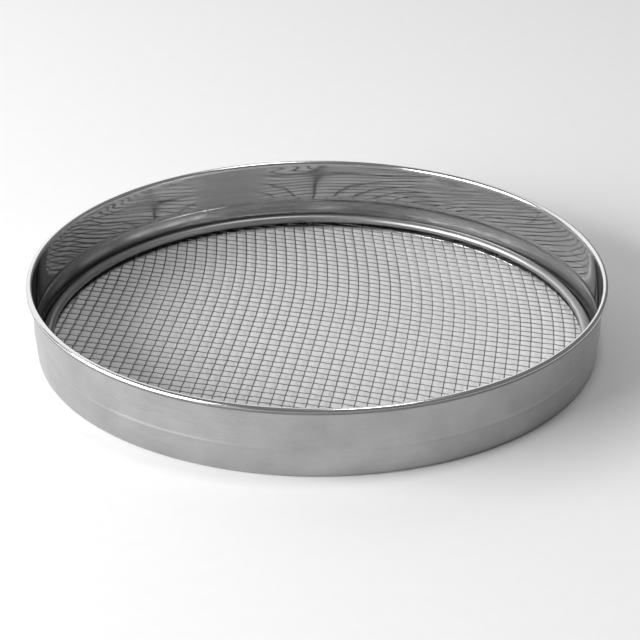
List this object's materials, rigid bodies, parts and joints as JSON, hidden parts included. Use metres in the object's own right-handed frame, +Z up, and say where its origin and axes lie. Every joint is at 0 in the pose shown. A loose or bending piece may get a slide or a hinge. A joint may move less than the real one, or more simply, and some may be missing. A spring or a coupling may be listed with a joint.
{
  "type": "mesh strainer",
  "caption": "Shallow round drum strainer: a steel hoop with a rolled rim and a foot turned in to a flange, on which a round retaining ring holds a coarse woven wire mesh.",
  "frame": {"origin": "on the drum's axis, in the plane of the resting face under the flange", "axes": "+Z up along the drum's axis towards the rim, the seam on the -X +Y side, -Y the side nearest in the picture"},
  "size_m": [0.3, 0.3, 0.0383],
  "materials": {
    "hoop": "bright rolled stainless sheet, mirror-like inside, satin outside",
    "retaining_ring": "polished stainless",
    "wire_mesh": "drawn stainless wire, woven"
  },
  "bodies": {
    "root": {"hoop": "hoop", "retaining_ring": "retaining_ring", "wire_mesh": "wire_mesh"}
  },
  "joints": []
}
